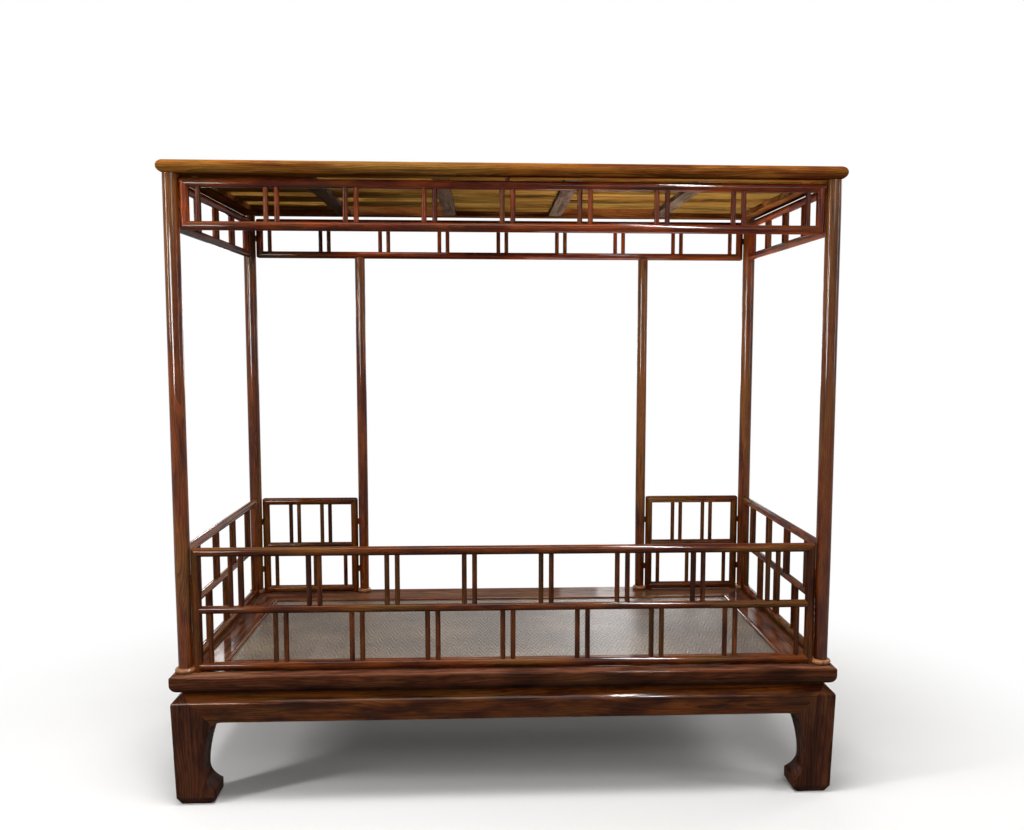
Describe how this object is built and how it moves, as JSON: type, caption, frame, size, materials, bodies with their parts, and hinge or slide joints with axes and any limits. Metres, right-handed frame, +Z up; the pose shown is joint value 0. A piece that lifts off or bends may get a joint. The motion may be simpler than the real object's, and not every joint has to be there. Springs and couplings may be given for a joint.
{
  "type": "canopy bed",
  "caption": "Timber canopy bed: waisted base on hoof feet, cane mat, round posts, lattice railings and friezes, mitred canopy with slats and an open entrance.",
  "frame": {"origin": "on the floor under the middle of the bed's base", "axes": "+X along the bed, +Y out through the entrance between the two entrance posts, +Z up; the long unbroken railing is on the -Y side"},
  "size_m": [2.124, 1.114, 2.014],
  "materials": {
    "dark_hardwood": "dark brown hardwood under a clear satin lacquer",
    "red_hardwood": "reddish-brown hardwood under a glossy lacquer",
    "golden_hardwood": "golden-brown hardwood under a satin lacquer",
    "pale_hardwood": "golden-olive boards, lightly lacquered",
    "plain_softwood": "plain planed wood, unlacquered",
    "coir": "palm-fibre cord webbing, matt",
    "woven_cane": "grey-beige herringbone cane, slightly glossy"
  },
  "bodies": {
    "root": {"leg_back_left": "dark_hardwood", "leg_back_right": "dark_hardwood", "leg_front_left": "dark_hardwood", "leg_front_right": "dark_hardwood", "apron_back": "dark_hardwood", "apron_front": "dark_hardwood", "apron_left": "dark_hardwood", "apron_right": "dark_hardwood", "waist_back": "dark_hardwood", "waist_front": "dark_hardwood", "waist_left": "dark_hardwood", "waist_right": "dark_hardwood", "frame_board_back": "dark_hardwood", "frame_board_front": "dark_hardwood", "frame_board_left": "dark_hardwood", "frame_board_right": "dark_hardwood", "under_stretchers": "plain_softwood", "coir_webbing": "coir", "cane_mat": "woven_cane", "mat_bead": "red_hardwood", "corner_post_back_left": "red_hardwood", "corner_post_back_right": "red_hardwood", "corner_post_front_left": "red_hardwood", "corner_post_front_right": "red_hardwood", "entrance_post_left": "red_hardwood", "entrance_post_right": "red_hardwood", "corner_post_bases": "golden_hardwood", "entrance_post_bases": "golden_hardwood", "back_railing_rails": "red_hardwood", "back_railing_stiles": "red_hardwood", "back_railing_struts": "red_hardwood", "left_railing_rails": "red_hardwood", "left_railing_stiles": "red_hardwood", "left_railing_struts": "red_hardwood", "right_railing_rails": "red_hardwood", "right_railing_stiles": "red_hardwood", "right_railing_struts": "red_hardwood", "entrance_left_rails": "red_hardwood", "entrance_left_stiles": "red_hardwood", "entrance_left_struts": "red_hardwood", "entrance_right_rails": "red_hardwood", "entrance_right_stiles": "red_hardwood", "entrance_right_struts": "red_hardwood", "back_frieze_frame": "red_hardwood", "back_frieze_struts": "red_hardwood", "front_frieze_frame": "red_hardwood", "front_frieze_struts": "red_hardwood", "left_frieze_frame": "red_hardwood", "left_frieze_struts": "red_hardwood", "right_frieze_frame": "red_hardwood", "right_frieze_struts": "red_hardwood", "frieze_spacers": "dark_hardwood", "canopy_member_back": "golden_hardwood", "canopy_member_front": "golden_hardwood", "canopy_member_left": "golden_hardwood", "canopy_member_right": "golden_hardwood", "canopy_crossbars": "dark_hardwood", "canopy_slats": "pale_hardwood"}
  },
  "joints": []
}
